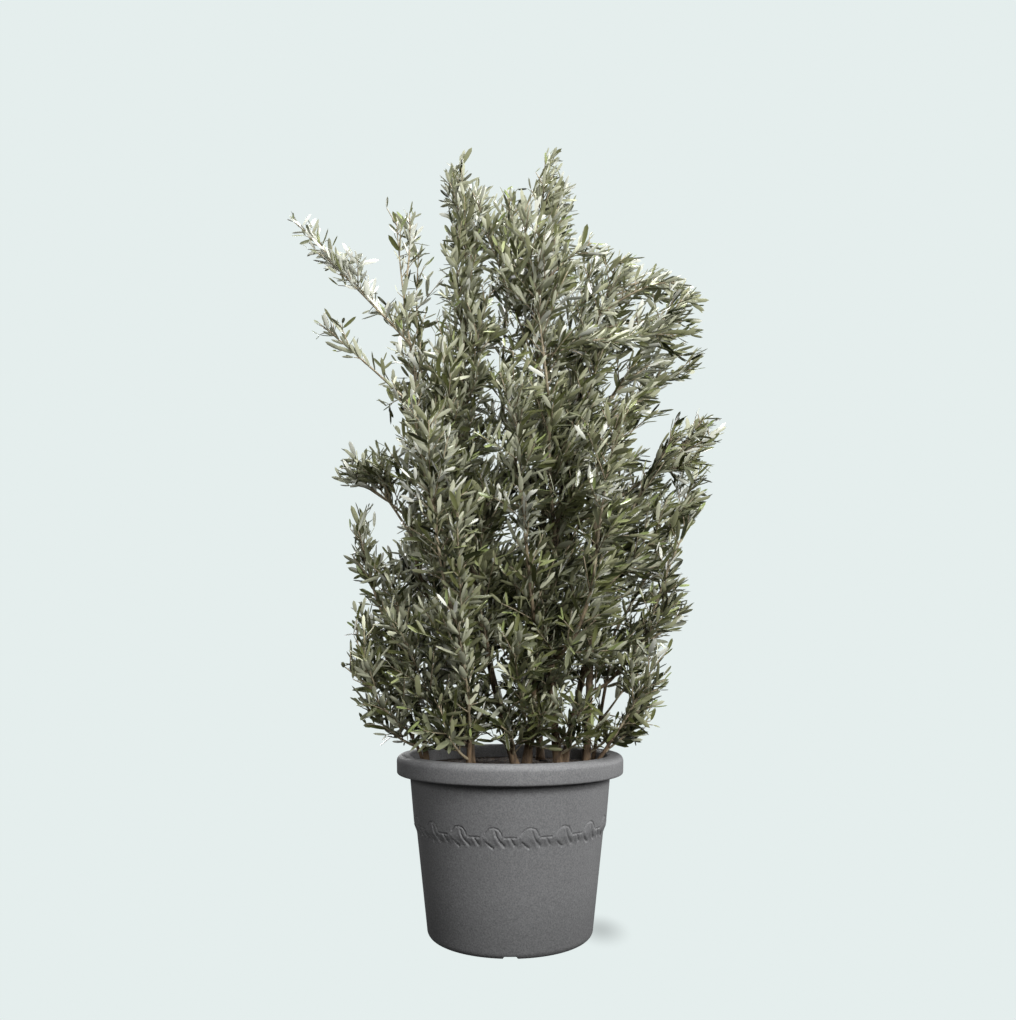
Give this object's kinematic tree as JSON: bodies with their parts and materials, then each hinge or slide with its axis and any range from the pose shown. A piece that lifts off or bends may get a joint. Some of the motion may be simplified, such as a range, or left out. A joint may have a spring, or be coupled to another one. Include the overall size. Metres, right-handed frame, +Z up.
{
  "type": "potted olive tree",
  "caption": "Multi-stemmed olive shrub with narrow leathery leaves on slender upright branches, growing in a round planter with a rolled rim.",
  "frame": {"origin": "the middle of the planter's flat underside, on the ground", "axes": "+Z up along the planter's axis and the stems; -Y is the front; +X to the right seen from the front"},
  "size_m": [1.0934, 0.6797, 1.8812],
  "materials": {
    "planter": "matte",
    "soil": "matte",
    "bark": "matte",
    "foliage": "matte"
  },
  "bodies": {
    "root": {"planter": "planter", "soil": "soil", "far_left_stem": "bark", "left_shoot": "bark", "left_stem": "bark", "inner_left_stem": "bark", "centre_stem": "bark", "inner_right_stem": "bark", "right_arm_stem": "bark", "right_stem": "bark", "thin_right_stem": "bark", "right_shoot": "bark", "front_left_stem": "bark", "back_left_stem": "bark", "back_right_stem": "bark", "upper_left_bough": "bark", "second_left_bough": "bark", "left_middle_bough": "bark", "low_right_bough": "bark", "under_arch_bough": "bark", "front_bough": "bark", "front_right_bough": "bark", "crown_back_bough": "bark", "crown_front_bough": "bark", "low_back_left_bough": "bark", "low_back_right_bough": "bark", "leaves_top_right_leader": "foliage", "leaves_top_left_leader": "foliage", "leaves_crown_back": "foliage", "leaves_crown_front": "foliage", "leaves_right_shoulder": "foliage", "leaves_right_arch": "foliage", "leaves_under_arch": "foliage", "leaves_far_right": "foliage", "leaves_upper_left_arch": "foliage", "leaves_second_left_arch": "foliage", "leaves_thin_left_shoot": "foliage", "leaves_left_shoulder": "foliage", "leaves_left_middle": "foliage", "leaves_left_upright": "foliage", "leaves_left_low": "foliage", "leaves_front_left": "foliage", "leaves_front_middle": "foliage", "leaves_front_right": "foliage", "leaves_right_low": "foliage", "leaves_right_middle": "foliage", "leaves_right_foot": "foliage", "leaves_back_left": "foliage", "leaves_back_right": "foliage", "leaves_low_back_left": "foliage", "leaves_low_back_right": "foliage", "leaves_heart_left": "foliage", "leaves_heart_right": "foliage", "leaves_heart_back": "foliage", "leaves_heart_top": "foliage", "leaves_foot_front_left": "foliage", "leaves_foot_front": "foliage", "leaves_foot_back": "foliage"}
  },
  "joints": []
}
